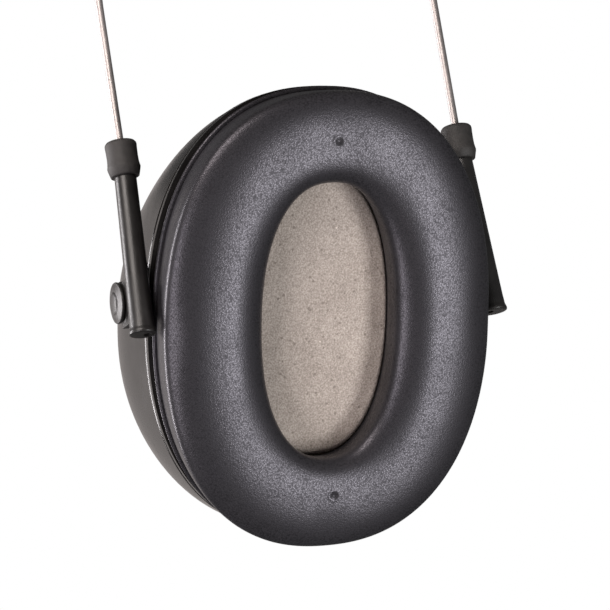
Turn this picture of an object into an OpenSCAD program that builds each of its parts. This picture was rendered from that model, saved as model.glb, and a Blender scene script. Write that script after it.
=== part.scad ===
// Twin-wire hearing protection earmuffs: two sealed ear cups, each hung by its
// two sides from a padded headband of spring steel wire.
// X runs from ear to ear, Y from back to front and Z up, in millimetres. The
// origin is midway between the two ear cushions, where the wearer's head goes.
// Every left piece is built here and its right twin is its mirror image.

/* [Ear cup] */
// Half of the shell's width at its mouth, front to back
shell_half_w = 39.8; // [37:0.1:39.9]
// Half of the shell's height at its mouth
shell_half_h = 53.3; // [49:0.1:56]
// Depth of the shell behind its mouth
shell_depth = 41; // [36:0.5:46]
// Thickness of the shell's wall
shell_wall = 2.4; // [1.8:0.1:3]
// How far the back of the shell sits lower than its mouth
back_drop = 9.5; // [0:0.5:11]
// How far the mouth's centre sits below the pivots
cup_drop = 4; // [0:0.5:6]
// How far the cups' faces look down when the band hangs open, in degrees
cup_tilt = 10.4; // [0:0.1:14]

/* [Ear cushion] */
// Half of the cushion's width
cushion_half_w = 40.7; // [38:0.1:40.7]
// Half of the cushion's height
cushion_half_h = 54.4; // [51:0.1:56]
// Half of the ear opening's width
ear_half_w = 16.6; // [14:0.1:19]
// Half of the ear opening's height
ear_half_h = 33; // [28:0.1:35]
// Thickness of the cushion from the plate to the face on the head
cushion_t = 15; // [12:0.5:17]
// Thickness of the cushion's leather skin
skin_t = 1.2; // [0.8:0.1:1.6]

/* [Cushion plate] */
// Half of the plate's width
plate_half_w = 39.2; // [37:0.1:39.3]
// Half of the plate's height
plate_half_h = 52.8; // [49:0.1:56]
// Thickness of the plate
plate_t = 2.4; // [1.8:0.1:2.6]

/* [Arms] */
// Half of the distance between the front and the rear arm, at their pivots
arm_spread = 44.2; // [44.2:0.1:45.5]
// How far each wire runs inside its arm's pivot, across the cup
wire_inset = 1.5; // [0:0.1:1.5]
// How far the arm's tube stands in front of the pivot, towards the head
arm_offset = 7; // [6.8:0.1:9]
// Radius of the tube at its lower end
tube_end_r = 3.15; // [3:0.05:3.2]
// Radius of the tube under its cap
tube_top_r = 2.6; // [2.3:0.05:2.7]
// Length of the tube below the pivot
tube_below = 10; // [8:0.5:12]
// Length of the tube above the pivot, up to the cap's rim
tube_above = 28.5; // [24:0.5:32]
// Radius of the cap over the tube's upper end
cap_r = 3.9; // [3.5:0.1:4.2]
// Length of the cap
cap_len = 8.7; // [8.5:0.1:12]
// Radius of the round lug that turns on the pivot pin
lug_r = 5; // [4.6:0.1:5.2]
// Thickness of that lug
lug_t = 4.2; // [3.6:0.1:4.4]
// Radius of the pivot pin's shank
pin_r = 1.8; // [1.5:0.1:2]
// Radius of the pivot pin's domed head
pin_head_r = 4.9; // [4.4:0.1:4.9]

/* [Headband] */
// Diameter of the spring steel wire
wire_d = 1.8; // [1.6:0.1:2]
// Radius of the band's arc over the crown
band_r = 72; // [70:0.5:78]
// Length of each straight leg, from the pivot's level to the arc
leg_len = 78; // [76:0.5:84]
// How far the legs lean outwards at the top, in degrees
leg_lean = 18; // [12:0.5:20]
// Half of the distance between the two wires inside the head pad
crown_spread = 22; // [18:0.5:26]
// How far an arm slides up its wire
slide_travel = 30; // [20:1:31]
// Length of wire below the pivot's level
wire_tail = 6; // [2:0.5:8]

/* [Head pad] */
// Width of the head pad, front to back
pad_w = 58; // [54:1:66]
// Thickness of the head pad
pad_t = 11.5; // [10:0.5:13]
// How far the pad reaches down each side from the crown, in degrees
pad_reach = 54; // [45:1:54]

/* [Hidden] */
$fn = 48;
side_n = 48;            // points round each oval
oval_power = 2.3;       // 2 is an ellipse, and more is squarer
turn = 180 / PI;
clear = 0.05;           // between pieces that fit in each other
gap = 0.3;              // between pieces that move on each other

// The cup's own frame has X towards the head, Z up along the cup, and its
// origin on the pivot axis. The mouth is where the shell meets the plate.
mouth_x = 2;
plate_x = mouth_x + plate_t;
face_x = plate_x + cushion_t + 0.6;
cushion_x = plate_x + 0.6;
liner_x = cushion_x + 2.6; // front of the foam that shows through the cushion
plate_ear = [ear_half_w + 5, ear_half_h + 6];           // the plate's opening
crest_at = 0.42;         // the cushion's crest, as a share of its width from the ear
widest_at = 0.72;        // where it is widest, as a share of its thickness
crest_power = 2.3;
outer_tuck = 0.07;       // how far its feet tuck in, as shares of its width
inner_tuck = 0.1;
depth_parts = [1, 0.985, 0.95, 0.89, 0.8, 0.68, 0.5, 0.25, 0]; // of the shell's depth

// The wire's path: straight up the leg, then round the crown's arc
foot_x = band_r * cos(leg_lean) - leg_len * sin(leg_lean);
pivot_x = foot_x + arm_offset * cos(leg_lean);
pivot_z = face_x * sin(cup_tilt) + cup_drop * cos(cup_tilt);
foot_z = pivot_z + arm_offset * sin(leg_lean);
crown_z = foot_z + leg_len * cos(leg_lean) + band_r * sin(leg_lean);
flex_angle = 60;        // where the leg flexes, from the crown
flex_gap = 0.5;         // half of the gap between crown wire and leg wire
wire_r = wire_d / 2;
wire_spread = arm_spread - wire_inset;
wire_bore_r = wire_r + 0.07;
flex_t = leg_len + band_r * (90 + leg_lean - flex_angle) / turn;
straight_t = tube_above + cap_len + slide_travel + 4;
pad_mid_r = band_r + 3.2 - pad_t / 2;

// The pivot's layers, outwards from the shell along Y
boss_top = arm_spread - lug_t / 2 - gap;
head_seat = arm_spread + lug_t / 2 + gap;
boss_r = 4.4;
boss_base = plate_half_w + 0.5;
pad_top = shell_half_w + 0.6;
pad_base = shell_half_w - shell_wall - 2;
pin_end = pad_base + 0.6;
pin_rim = 0.6;          // straight edge of the pin's head
pin_dome = 1.1;         // height of its dome
tube_mouth_r = 1.3;     // where the wire leaves the tube's lower end
cap_grip = 4;           // depth of the cap's end that holds the wire
dome_r = (pow(pin_head_r, 2) + pow(pin_dome, 2)) / (2 * pin_dome);

// ---- Shapes ----

function oval(a, b, k) =
    let (c = cos(360 * k / side_n), s = sin(360 * k / side_n))
    [a * sign(c) * pow(abs(c), 2 / oval_power), b * sign(s) * pow(abs(s), 2 / oval_power)];

// A solid through ovals at rising X: each level is [x, half width, half height, centre z]
module loft(levels) {
    m = len(levels);
    points = [for (l = levels) for (k = [0:side_n - 1])
        let (p = oval(l[1], l[2], k)) [l[0], p[0], p[1] + l[3]]];
    sides = [for (i = [0:m - 2]) for (k = [0:side_n - 1])
        let (a = i * side_n + k, b = i * side_n + (k + 1) % side_n)
        each [[a, a + side_n, b + side_n], [a, b + side_n, b]]];
    back = [for (k = [0:side_n - 1]) k];
    front = [for (k = [side_n - 1:-1:0]) (m - 1) * side_n + k];
    polyhedron(points, concat(sides, [back, front]));
}

// A closed ring between an inner and an outer oval. Its section is a list of
// [w, x]: w goes from 0 at the inner oval to 1 at the outer one.
module oval_ring(inner, outer, section) {
    m = len(section);
    points = [for (k = [0:side_n - 1]) for (s = section)
        let (p = oval(inner[0], inner[1], k), q = oval(outer[0], outer[1], k))
        [s[1], p[0] + s[0] * (q[0] - p[0]), p[1] + s[0] * (q[1] - p[1]) - cup_drop]];
    faces = [for (k = [0:side_n - 1]) for (j = [0:m - 1])
        let (n = (k + 1) % side_n, i = (j + 1) % m)
        each [[k * m + j, k * m + i, n * m + i], [k * m + j, n * m + i, n * m + j]]];
    polyhedron(points, faces);
}

// A square with round corners, centred, of exact arcs
module rounded_square(w, h, r) {
    square([w - 2 * r, h], center = true);
    square([w, h - 2 * r], center = true);
    for (x = [-1, 1], y = [-1, 1])
        translate([x * (w / 2 - r), y * (h / 2 - r)]) circle(r);
}

// A solid of a radial section, turned round the crown's axis between two angles
// that are measured from the crown towards the left
module around_crown(from, to) {
    translate([0, 0, crown_z]) rotate([90, 0, 0]) rotate([0, 0, 90 + from])
        rotate_extrude(angle = to - from, $fn = 96) children();
}

// ---- Places ----

module left_or_right(side) {
    if (side == "left") children();
    else mirror([1, 0, 0]) children();
}

module cup_frame(side) {
    left_or_right(side) translate([-pivot_x, 0, pivot_z]) rotate([0, cup_tilt, 0]) children();
}

module leg_frame(side) {
    left_or_right(side) translate([-pivot_x, 0, pivot_z]) rotate([0, -leg_lean, 0]) children();
}

// Turns Z to point outwards along the pivot axis: end is 1 for front, -1 for rear
module pivot_axis(end) {
    rotate([-90 * end, 0, 0]) children();
}

// ---- Cup ----

// The shell's ovals at a depth behind its mouth, less a wall all round
function shell_level(part, wall, depth) =
    let (z = part * (depth - wall), r = z / depth,
        w = shell_half_w * pow(1 - pow(r, 5), 1 / 5),
        h = shell_half_h * pow(1 - pow(r, 2.5), 1 / 2.5))
    [mouth_x - z, w - wall, h - wall, -cup_drop - back_drop * r];

module shell_body(wall) {
    loft([for (p = depth_parts) shell_level(p * 0.995, wall, shell_depth)]);
}

// The flat pad that each pivot boss stands on, seen from the side. It stops at
// the shell's mouth, clear of the plate.
module pivot_pad() {
    polygon([[-9, -7.5], [0, -7], [mouth_x, -4.5], [mouth_x, 5], [-1, 9], [-6, 8]]);
}

module cup_shell(side) {
    color("#1b1a1c") cup_frame(side) difference() {
        union() {
            difference() {
                union() {
                    shell_body(0);
                    for (end = [-1, 1]) translate([0, end * (pad_base + pad_top) / 2, 0]) rotate([90, 0, 0])
                        linear_extrude(pad_top - pad_base, center = true) pivot_pad();
                }
                shell_body(shell_wall);
                translate([mouth_x - 0.01, 0, 0]) loft([
                    [-1, shell_half_w - shell_wall, shell_half_h - shell_wall, -cup_drop],
                    [2, shell_half_w - shell_wall, shell_half_h - shell_wall, -cup_drop]]);
            }
            for (end = [-1, 1]) pivot_axis(end) translate([0, 0, boss_base])
                cylinder(r = boss_r, h = boss_top - boss_base);
        }
        for (end = [-1, 1]) pivot_axis(end) translate([0, 0, pin_end])
            cylinder(r = pin_r, h = boss_top);
    }
}

module cushion_plate(side) {
    color("#202022") cup_frame(side) oval_ring(plate_ear, [plate_half_w, plate_half_h],
        [[0, mouth_x], [0.975, mouth_x], [1, mouth_x + 0.6], [1, plate_x - 0.6], [0.975, plate_x],
            [0.9, plate_x], [0.9, plate_x + 0.6], [0, plate_x + 0.6]]);
}

// The cushion's section, from its outer foot over the crest to its inner foot
function crest(inset, steps) =
    [for (i = [0:steps])
        let (t = 2 * i / steps - 1, u = abs(t), arc = 90 * min(u / 0.65, 1),
            wall = max(u - 0.65, 0) / 0.35,
            reach = t < 0 ? 1 - crest_at - inset / 22 : inset / 22 - crest_at,
            tuck = t < 0 ? outer_tuck : -inner_tuck,
            height = wall > 0 ? widest_at * (1 - wall)
                : widest_at + (1 - widest_at) * pow(cos(arc), 2 / crest_power))
        [crest_at + reach * pow(sin(arc), 2 / crest_power) - tuck * pow(wall, 1.5),
            cushion_x + (cushion_t - inset) * height]];

function backwards(list) = [for (i = [len(list) - 1:-1:0]) list[i]];

module ear_cushion(side) {
    color("#2b2b31") cup_frame(side)
        oval_ring([ear_half_w, ear_half_h], [cushion_half_w, cushion_half_h],
            concat(crest(0, 12), backwards(crest(skin_t, 10))));
}

module cushion_foam(side) {
    color("#8a8478") cup_frame(side)
        oval_ring([ear_half_w, ear_half_h], [cushion_half_w, cushion_half_h],
            crest(skin_t + 0.3, 8));
}

// The sound-absorbing foam: a block in the shell with a step that fills the plate's opening
module foam_liner(side) {
    w = shell_half_w - shell_wall - 4;
    h = shell_half_h - shell_wall - 5;
    color("#8f8779") cup_frame(side) loft([
        [mouth_x - 20, w - 4, h - 10, -cup_drop - 2],
        [mouth_x - 12, w - 1, h - 3, -cup_drop - 1],
        [mouth_x - 0.8, w, h, -cup_drop],
        [mouth_x - 0.4, plate_ear[0] - 0.5, plate_ear[1] - 0.5, -cup_drop],
        [plate_x, plate_ear[0] - 0.5, plate_ear[1] - 0.5, -cup_drop],
        [cushion_x - 0.2, ear_half_w + 1.5, ear_half_h + 1.2, -cup_drop],
        [liner_x, ear_half_w + 1.2, ear_half_h + 0.9, -cup_drop]]);
}

module pivot_pin(side, end) {
    color("#27262a") cup_frame(side) pivot_axis(end) {
        translate([0, 0, pin_end]) cylinder(r = pin_r, h = head_seat - pin_end + 0.2);
        translate([0, 0, head_seat]) intersection() {
            cylinder(r = pin_head_r, h = pin_rim + pin_dome + 1);
            translate([0, 0, pin_rim + pin_dome - dome_r]) sphere(r = dome_r);
        }
    }
}

// ---- Arms ----

// The web between the lug and the tube, seen from the side. Its lower corner is
// the small point that shows under the pin's head.
module arm_web() {
    polygon([[-1.9, -5.8], [arm_offset, -6.4], [arm_offset, 4], [0, lug_r - 0.2], [-2.5, 0]]);
}

// The tube leans outwards a little towards its lower end, but its bore is true to the wire
module arm(side, end) {
    seat_r = tube_top_r - 0.1;
    length = tube_below + tube_above;
    lean = end * atan((arm_spread - wire_spread) / length);
    color("#151416") leg_frame(side) difference() {
        union() {
            translate([arm_offset, end * arm_spread, -tube_below]) rotate([lean, 0, 0]) {
                cylinder(r1 = tube_end_r, r2 = tube_top_r, h = length);
                translate([0, 0, length]) cylinder(r = seat_r, h = cap_len - cap_grip - 0.6);
            }
            translate([0, end * arm_spread, 0]) rotate([90, 0, 0])
                cylinder(r = lug_r, h = lug_t, center = true);
            translate([0, end * arm_spread, 0]) rotate([90, 0, 0])
                linear_extrude(lug_t - 0.6, center = true) arm_web();
        }
        translate([arm_offset, end * wire_spread, -tube_below - 1])
            cylinder(r = wire_bore_r, h = length + cap_len + 2);
        translate([arm_offset, end * wire_spread, -tube_below - 1])
            cylinder(r = tube_mouth_r, h = 3);
        translate([0, end * arm_spread, 0]) rotate([90, 0, 0])
            cylinder(r = pin_r + clear, h = lug_t + 2, center = true);
    }
}

module arm_cap(side, end) {
    seat_r = tube_top_r + 0.25;
    color("#3a393b") leg_frame(side)
        translate([arm_offset, end * wire_spread, tube_above + clear]) rotate_extrude()
            polygon([[seat_r, 0], [cap_r - 0.65, 0], [cap_r + 0.05, 2.2], [cap_r - 0.1, cap_len - 1],
                [cap_r - 0.4, cap_len - 0.4], [cap_r - 1.2, cap_len], [wire_bore_r, cap_len + 0.3],
                [wire_bore_r, cap_len - cap_grip], [seat_r, cap_len - cap_grip]]);
}

// ---- Headband ----

function smooth(x) = let (c = min(max(x, 0), 1)) c * c * (3 - 2 * c);

// A point on the left front wire, at a distance t up the wire from the pivot's level
function wire_point(t, end) =
    let (part = smooth((t - straight_t) / (flex_t - 3 - straight_t)),
        y = end * (wire_spread + part * (crown_spread - wire_spread)),
        angle = 90 + leg_lean - (t - leg_len) / band_r * turn)
    t < leg_len
        ? [-foot_x - t * sin(leg_lean), y, foot_z + t * cos(leg_lean)]
        : [-band_r * sin(angle), y, crown_z + band_r * cos(angle)];

function unit(v) = v / norm(v);

// A round wire along a list of points, from its lower end up
module wire_sweep(path, r, n) {
    m = len(path);
    points = [for (i = [0:m - 1])
        let (along = unit(path[min(i + 1, m - 1)] - path[max(i - 1, 0)]),
            across = unit(cross([0, 1, 0], along)), up = cross(along, across))
        for (k = [0:n - 1]) path[i] + r * (cos(360 * k / n) * across + sin(360 * k / n) * up)];
    sides = [for (i = [0:m - 2]) for (k = [0:n - 1])
        let (a = i * n + k, b = i * n + (k + 1) % n)
        each [[a, a + n, b + n], [a, b + n, b]]];
    polyhedron(points, concat(sides, [[for (k = [0:n - 1]) k], [for (k = [n - 1:-1:0]) (m - 1) * n + k]]));
}

module leg_wire(side, end) {
    bend_steps = 18;
    color("silver") {
        leg_frame(side) translate([arm_offset, end * wire_spread, -wire_tail])
            cylinder(r = wire_r, h = wire_tail + straight_t + 0.6);
        left_or_right(side) wire_sweep(
            [for (i = [0:bend_steps])
                wire_point(straight_t + (flex_t - flex_gap - straight_t) * i / bend_steps, end)],
            wire_r - 0.005, 10);
    }
}

module crown_wire(end) {
    half = flex_angle - flex_gap / band_r * turn;
    color("silver") around_crown(-half, half)
        translate([band_r, -end * crown_spread]) circle(wire_r);
}

module wire_bridge(side) {
    color("#1d1c1e") left_or_right(side) around_crown(pad_reach + 2.3, flex_angle - 0.7)
        difference() {
            translate([band_r, 0]) rounded_square(5, 2 * crown_spread + 8, 2.3);
            for (end = [-1, 1]) translate([band_r, end * crown_spread]) circle(wire_r + clear);
        }
}

module head_pad_cover() {
    color("#222127") around_crown(-pad_reach, pad_reach) difference() {
        translate([pad_mid_r, 0]) rounded_square(pad_t, pad_w, 4);
        translate([pad_mid_r, 0]) rounded_square(pad_t - 2.4, pad_w - 2.4, 2.8);
    }
}

module head_pad_foam() {
    top = band_r - wire_r - 0.4;
    bottom = pad_mid_r - pad_t / 2 + 1.5;
    color("#8a8478") around_crown(-pad_reach + 1, pad_reach - 1)
        translate([(top + bottom) / 2, 0]) rounded_square(top - bottom, pad_w - 3.4, 2);
}

// ---- Pieces ----

cup_shell("left");  // left_cup_shell
cushion_plate("left");  // left_cushion_plate
ear_cushion("left");  // left_ear_cushion
cushion_foam("left");  // left_cushion_foam
foam_liner("left");  // left_foam_liner
arm("left", 1);  // left_front_arm
arm("left", -1);  // left_rear_arm
arm_cap("left", 1);  // left_front_cap
arm_cap("left", -1);  // left_rear_cap
pivot_pin("left", 1);  // left_front_pin
pivot_pin("left", -1);  // left_rear_pin
leg_wire("left", 1);  // left_front_leg_wire
leg_wire("left", -1);  // left_rear_leg_wire
wire_bridge("left");  // left_wire_bridge
cup_shell("right");  // right_cup_shell
cushion_plate("right");  // right_cushion_plate
ear_cushion("right");  // right_ear_cushion
cushion_foam("right");  // right_cushion_foam
foam_liner("right");  // right_foam_liner
arm("right", 1);  // right_front_arm
arm("right", -1);  // right_rear_arm
arm_cap("right", 1);  // right_front_cap
arm_cap("right", -1);  // right_rear_cap
pivot_pin("right", 1);  // right_front_pin
pivot_pin("right", -1);  // right_rear_pin
leg_wire("right", 1);  // right_front_leg_wire
leg_wire("right", -1);  // right_rear_leg_wire
wire_bridge("right");  // right_wire_bridge
crown_wire(1);  // front_crown_wire
crown_wire(-1);  // rear_crown_wire
head_pad_cover();
head_pad_foam();
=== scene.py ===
"""Final looks of the twin-wire hearing protection earmuffs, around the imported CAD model.

Everything is built in the CAD's own frame: X from ear to ear, Y to the front and Z up, with the
origin midway between the ear cushions. Shapes are worked out in millimetres with the CAD's own
dimensions, in two local frames that the left side uses (the right side is its mirror image):

cup frame   X towards the head, Y to the front, Z up the cup, origin on the pivot axis
leg frame   Z up the straight leg of the band, X towards the head, origin on the pivot axis
"""

import math

import bmesh
import bpy
import numpy as np
from mathutils import Matrix, Vector
from mathutils.bvhtree import BVHTree


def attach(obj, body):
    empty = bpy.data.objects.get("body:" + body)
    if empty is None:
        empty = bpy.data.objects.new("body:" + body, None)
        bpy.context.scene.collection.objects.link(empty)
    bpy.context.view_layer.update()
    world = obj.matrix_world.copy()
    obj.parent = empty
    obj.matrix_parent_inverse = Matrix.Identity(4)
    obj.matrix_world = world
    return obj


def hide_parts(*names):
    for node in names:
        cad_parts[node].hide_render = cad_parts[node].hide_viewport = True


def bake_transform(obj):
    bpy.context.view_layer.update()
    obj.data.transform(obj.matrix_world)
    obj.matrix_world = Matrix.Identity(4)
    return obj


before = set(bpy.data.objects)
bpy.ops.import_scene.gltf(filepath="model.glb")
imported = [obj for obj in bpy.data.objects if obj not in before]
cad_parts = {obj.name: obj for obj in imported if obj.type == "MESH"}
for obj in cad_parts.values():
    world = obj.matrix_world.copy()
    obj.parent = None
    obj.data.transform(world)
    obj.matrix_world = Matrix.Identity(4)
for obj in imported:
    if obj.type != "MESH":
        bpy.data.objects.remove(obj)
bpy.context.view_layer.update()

MM = 0.001  # one millimetre, in the scene's metres
SIDES = ("left", "right")
ENDS = (("front", 1), ("rear", -1))

# ---------------------------------------------------------------- the CAD's dimensions, in mm

SHELL_W, SHELL_H, SHELL_DEPTH, SHELL_WALL = 39.8, 53.3, 41.0, 2.4
BACK_DROP, CUP_DROP = 9.5, 4.0
CUP_TILT, LEG_LEAN = math.radians(10.4), math.radians(18)
CUSHION_W, CUSHION_H, CUSHION_T = 40.7, 54.4, 15.0
CREST_AT, WIDEST_AT, OUTER_TUCK, INNER_TUCK, CREST_POWER = 0.42, 0.72, 0.07, 0.10, 2.3
EAR_W, EAR_H = 16.6, 33.0
PLATE_W, PLATE_H, PLATE_T = 39.2, 52.8, 2.4
ARM_SPREAD, WIRE_SPREAD, ARM_OFFSET = 44.2, 42.7, 7.0
TUBE_END_R, TUBE_TOP_R, TUBE_BELOW, TUBE_ABOVE = 3.15, 2.6, 10.0, 28.5
CAP_R, CAP_LEN = 3.9, 8.7
LUG_R, LUG_T, PIN_R, PIN_HEAD_R = 5.0, 4.2, 1.8, 4.9
WIRE_R, WIRE_BORE_R, WIRE_TAIL = 0.9, 0.97, 6.0
BAND_R, LEG_LEN, CROWN_SPREAD, SLIDE = 72.0, 78.0, 22.0, 30.0
PAD_W, PAD_T, PAD_REACH = 58.0, 11.5, math.radians(54)

# Places worked out from these: across the cup, in the cup frame, in the object's frame, and along
# a wire, as t, in mm up from the pivot's level.
PIVOT_PAD_BASE = SHELL_W - SHELL_WALL - 2
PIVOT_PAD_TOP = SHELL_W + 0.6
BOSS_BASE = PLATE_W + 0.5
LUG_GAP = 0.3
VENT_HEIGHTS = (43.1, -41.4)
MOUTH_X = 2.0
LINER_X, LINER_W, LINER_H = 7.6, 17.9, 34.0
PLATE_X = MOUTH_X + PLATE_T
CUSHION_X = PLATE_X + 0.6
FACE_X = CUSHION_X + CUSHION_T
FOOT_X = BAND_R * math.cos(LEG_LEAN) - LEG_LEN * math.sin(LEG_LEAN)
PIVOT_X = FOOT_X + ARM_OFFSET * math.cos(LEG_LEAN)
PIVOT_Z = FACE_X * math.sin(CUP_TILT) + CUP_DROP * math.cos(CUP_TILT)
FOOT_Z = PIVOT_Z + ARM_OFFSET * math.sin(LEG_LEAN)
CROWN_Z = FOOT_Z + LEG_LEN * math.cos(LEG_LEAN) + BAND_R * math.sin(LEG_LEAN)
FLEX_ANGLE = math.radians(60)
STRAIGHT_T = TUBE_ABOVE + CAP_LEN + SLIDE + 4
FLEX_T = LEG_LEN + BAND_R * (math.pi / 2 + LEG_LEAN - FLEX_ANGLE)
PAD_MID_R = BAND_R + 3.2 - PAD_T / 2


# ---------------------------------------------------------------- places

def in_cup(side, points):
    """Cup-frame points in the object's frame, in mm."""
    return placed(side, points, CUP_TILT)


def in_leg(side, points):
    """Leg-frame points in the object's frame, in mm."""
    return placed(side, points, -LEG_LEAN)


def placed(side, points, angle):
    """Points of a local frame that leans by an angle about the pivot axis, in the object's frame."""
    p = np.asarray(points, float).reshape(-1, 3)
    c, s = math.cos(angle), math.sin(angle)
    x = p[:, 0] * c + p[:, 2] * s - PIVOT_X
    z = p[:, 2] * c - p[:, 0] * s + PIVOT_Z
    return np.stack([x if side == "left" else -x, p[:, 1], z], axis=1)


def in_band(points):
    """Band points (angle from the crown towards the left, y, radius) in the object's frame, in mm."""
    angle, y, radius = np.asarray(points, float).reshape(-1, 3).T
    return np.stack([-radius * np.sin(angle), y, CROWN_Z + radius * np.cos(angle)], axis=1)


def smooth(x):
    """A soft step from 0 to 1."""
    c = np.clip(x, 0, 1)
    return c * c * (3 - 2 * c)


# ---------------------------------------------------------------- shapes

def oval(a, b, count, power=2.3):
    """Points evenly spaced along a superellipse with half axes a and b, from its +a end."""
    t = np.linspace(0, 2 * math.pi, 4001)
    c, s = np.cos(t), np.sin(t)
    x = a * np.sign(c) * np.abs(c) ** (2 / power)
    y = b * np.sign(s) * np.abs(s) ** (2 / power)
    along = np.concatenate([[0], np.cumsum(np.hypot(np.diff(x), np.diff(y)))])
    at = np.linspace(0, along[-1], count, endpoint=False)
    return np.stack([np.interp(at, along, x), np.interp(at, along, y)], axis=1)


def skin(rings, wrap=False):
    """Quads over rings of points. wrap joins the last ring to the first; otherwise each end is closed."""
    rings = np.asarray(rings, float)
    m, n = rings.shape[:2]
    faces = [(i * n + k, i * n + (k + 1) % n, (i + 1) % m * n + (k + 1) % n, (i + 1) % m * n + k)
             for i in range(m if wrap else m - 1) for k in range(n)]
    if not wrap:
        faces += [tuple(range(n))[::-1], tuple(range((m - 1) * n, m * n))]
    return rings.reshape(-1, 3), faces


def joined(*parts):
    """Several (points, faces) as one."""
    points, faces, offset = [], [], 0
    for p, f in parts:
        points.append(np.asarray(p, float).reshape(-1, 3))
        faces += [tuple(i + offset for i in face) for face in f]
        offset += len(points[-1])
    return np.concatenate(points), faces


def lathe(profile, count=64):
    """A closed profile of (radius, height) turned round Z."""
    a = np.linspace(0, 2 * math.pi, count, endpoint=False)
    rings = [[(r * math.cos(t), r * math.sin(t), h) for r, h in profile] for t in a]
    return skin(rings, wrap=True)


def rounded(corners, radius, steps=5):
    """A closed polygon with its corners rounded, by one radius or by one for each corner."""
    p = np.asarray(corners, float)
    out = []
    for i in range(len(p)):
        before, at, after = p[i - 1], p[i], p[(i + 1) % len(p)]
        u, v = before - at, after - at
        r = radius[i] if np.ndim(radius) else radius
        cut = min(r, 0.45 * np.linalg.norm(u), 0.45 * np.linalg.norm(v))
        a, b = at + u / np.linalg.norm(u) * cut, at + v / np.linalg.norm(v) * cut
        for t in np.linspace(0, 1, steps):
            out.append((1 - t) ** 2 * a + 2 * t * (1 - t) * at + t * t * b)
    return np.array(out)


def mesh_from(name, points, faces, sharp=40):
    """A mesh object, in metres, from points in mm, with its normals outward."""
    mesh = bpy.data.meshes.new(name)
    mesh.from_pydata((np.asarray(points) * MM).tolist(), [], [tuple(f) for f in faces])
    obj = bpy.data.objects.new(name, mesh)
    bpy.context.scene.collection.objects.link(obj)
    tidy(obj, sharp)
    return obj


def tidy(obj, sharp=40):
    """Welds, turns the normals outward, and shades smooth up to an angle."""
    bm = bmesh.new()
    bm.from_mesh(obj.data)
    bmesh.ops.remove_doubles(bm, verts=bm.verts, dist=1e-7)
    bmesh.ops.recalc_face_normals(bm, faces=bm.faces)
    bm.to_mesh(obj.data)
    bm.free()
    obj.data.shade_smooth()
    obj.data.set_sharp_from_angle(angle=math.radians(sharp))


def applied(obj):
    """Replaces obj's mesh with the result of its modifiers."""
    evaluated = obj.evaluated_get(bpy.context.evaluated_depsgraph_get())
    mesh = bpy.data.meshes.new_from_object(evaluated)
    obj.modifiers.clear()
    old, obj.data = obj.data, mesh
    bpy.data.meshes.remove(old)


def coordinates(mesh):
    """The mesh's points, one in each row."""
    co = np.zeros(len(mesh.vertices) * 3)
    mesh.vertices.foreach_get("co", co)
    return co.reshape(-1, 3)


def set_coordinates(mesh, co):
    """Moves the mesh's points to co."""
    mesh.vertices.foreach_set("co", np.asarray(co, float).ravel())
    mesh.update()


def fused(name, parts, voxel=0.2, relax=3):
    """Closed pieces melted into one, with small fillets, like a moulding. voxel is in mm."""
    obj = mesh_from(name, *joined(*parts))
    remesh = obj.modifiers.new("Fuse", "REMESH")
    remesh.mode = "VOXEL"
    remesh.voxel_size = voxel * MM
    soften = obj.modifiers.new("Soften", "SMOOTH")
    soften.iterations = relax
    applied(obj)
    obj.data.shade_smooth()
    return obj


def finished(obj, body, slot, material, *nodes):
    """Gives a piece its material, the CAD nodes that it stands for and its body; slot is not used."""
    obj.data.materials.clear()
    obj.data.materials.append(material)
    if nodes:
        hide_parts(*nodes)
    if body:
        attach(obj, body)


# ---------------------------------------------------------------- materials

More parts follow.
